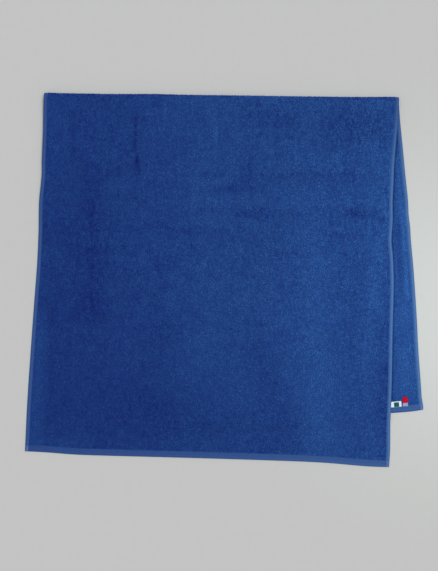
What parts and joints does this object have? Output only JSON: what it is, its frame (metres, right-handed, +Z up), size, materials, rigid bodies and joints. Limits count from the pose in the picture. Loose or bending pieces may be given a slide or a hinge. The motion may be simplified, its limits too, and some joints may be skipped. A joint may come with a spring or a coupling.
{
  "type": "folded bath towel",
  "caption": "Terry bath towel folded near its middle and laid flat, the back layer showing as a strip beside the front one, with small woven labels in its end hem.",
  "frame": {"origin": "on the surface, under the middle of the folded towel's bounding box", "axes": "+X runs along the fold to the right, +Y from the end hems to the fold, +Z up out of the surface"},
  "size_m": [0.7228, 0.6792, 0.01],
  "materials": {
    "terry": "looped cotton pile, matt, dyed dark blue",
    "label_white": "tightly woven white tape with a faint sheen",
    "label_red": "tightly woven red tape, pale at its lower end"
  },
  "bodies": {
    "root": {"towel": "terry", "label_white": "label_white", "label_red": "label_red"}
  },
  "joints": []
}
